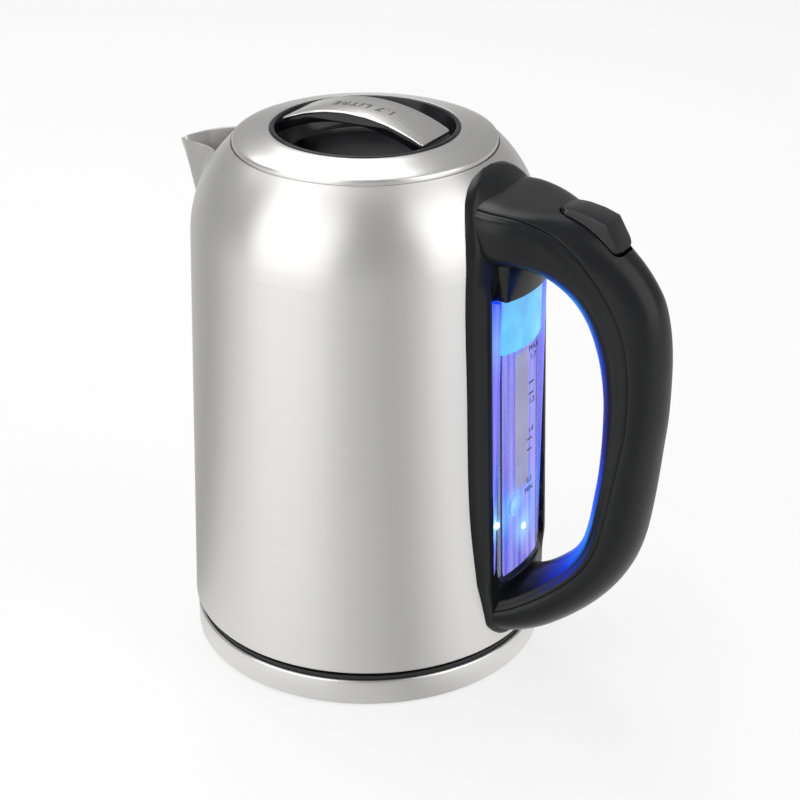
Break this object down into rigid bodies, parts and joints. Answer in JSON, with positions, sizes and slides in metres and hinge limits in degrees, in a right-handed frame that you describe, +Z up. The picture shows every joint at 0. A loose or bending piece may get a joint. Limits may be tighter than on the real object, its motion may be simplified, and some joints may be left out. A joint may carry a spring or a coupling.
{
  "type": "electric kettle",
  "caption": "Cordless electric kettle with brushed steel jug, V spout, lift-off lid with bridge grip, lit water gauge in a black loop handle, rocker switch, round power base.",
  "frame": {"origin": "on the jug's upright axis, at the surface the power base's foot ring stands on", "axes": "+Z up; +X from the axis to the handle, so the spout points along -X; Y across, with the object symmetric about Y = 0"},
  "size_m": [0.2301, 0.1538, 0.237],
  "materials": {
    "brushed_steel": "stainless steel, brushed round the jug and concentric on the lid",
    "satin_black": "satin moulded black",
    "gloss_black": "glossy moulded black",
    "black_plastic": "fine matt texture",
    "white_plastic": "plain moulded",
    "rubber_grey": "matt",
    "rubber_black": "matt",
    "clear_silicone": "translucent, matt",
    "plated_steel": "bright zinc plate",
    "aluminium_plate": "plain sheet and sheathing",
    "brass_contact": "bright, polished where it rubs",
    "clear_plastic": "clear moulded window",
    "mark_ink": "printed ink",
    "wire_cover": "silicone wire cover",
    "blue_light": "clear light guide lit blue from its end"
  },
  "bodies": {
    "power_base": {"base_foot_ring": "rubber_grey", "base_housing": "black_plastic", "base_trim_ring": "brushed_steel", "base_top_cover": "black_plastic", "base_connector": "black_plastic", "base_contacts": "brass_contact", "base_screws": "plated_steel", "cord_gland": "rubber_black", "cord_clamp": "black_plastic"},
    "jug_socket": {"cordless_socket": "black_plastic", "socket_contacts": "brass_contact"},
    "jug": {"jug_body": "brushed_steel", "bottom_cover": "black_plastic", "bottom_screws": "plated_steel", "heating_plate": "brushed_steel", "heat_diffuser": "aluminium_plate", "element_tube": "aluminium_plate", "element_bracket": "plated_steel", "control_unit": "black_plastic", "bimetal_discs": "plated_steel", "mouth_collar": "black_plastic", "spout": "brushed_steel", "filter_frame": "black_plastic", "filter_mesh": "plated_steel", "handle_back_plate": "satin_black", "handle_outer_shell": "satin_black", "handle_inner_cover": "satin_black", "handle_brackets": "plated_steel", "bracket_screw": "plated_steel", "handle_screws": "plated_steel", "window_column": "clear_plastic", "window_seal": "clear_silicone", "window_top_holder": "satin_black", "window_bottom_holder": "satin_black", "port_grommets": "clear_silicone", "level_marks": "mark_ink", "light_guides": "blue_light", "led_boards": "white_plastic", "leds": "blue_light", "button_pin": "plated_steel", "lever_pin": "plated_steel", "switch_cradle": "white_plastic", "steam_duct": "white_plastic", "steam_thermostat": "white_plastic", "wiring_loom": "wire_cover"},
    "lid": {"lid_cover": "brushed_steel", "lid_bowl": "gloss_black", "lid_bridge_cap": "brushed_steel", "lid_bridge_core": "gloss_black", "lid_skirt": "black_plastic", "lid_gasket": "clear_silicone", "lid_inner_plate": "brushed_steel", "lid_posts": "black_plastic", "lid_screws": "plated_steel"},
    "power_button": {"power_button": "gloss_black"},
    "trip_lever": {"trip_lever": "white_plastic"}
  },
  "joints": [
    {"name": "jug_lift", "type": "slide", "parent": "power_base", "child": "jug_socket", "axis": [0, 0, 1], "range_m": [0, 0.08]},
    {"name": "jug_swivel", "type": "hinge", "parent": "jug_socket", "child": "jug", "pos_m": [0, 0, 0], "axis": [0, 0, 1], "continuous": true},
    {"name": "lid_lift", "type": "slide", "parent": "jug", "child": "lid", "axis": [0, 0, 1], "range_m": [0, 0.06]},
    {"name": "button_rock", "type": "hinge", "parent": "jug", "child": "power_button", "pos_m": [0.1025, 0, 0.1996], "axis": [0, 1, 0], "range_deg": [0, 8]},
    {"name": "trip_lever_swing", "type": "hinge", "parent": "jug", "child": "trip_lever", "pos_m": [0.09751, 0, 0.19048], "axis": [0, 1, 0], "range_deg": [-8, 0]}
  ],
  "couplings": [
    {"joint": "trip_lever_swing", "follows": "button_rock", "ratio": -1}
  ]
}
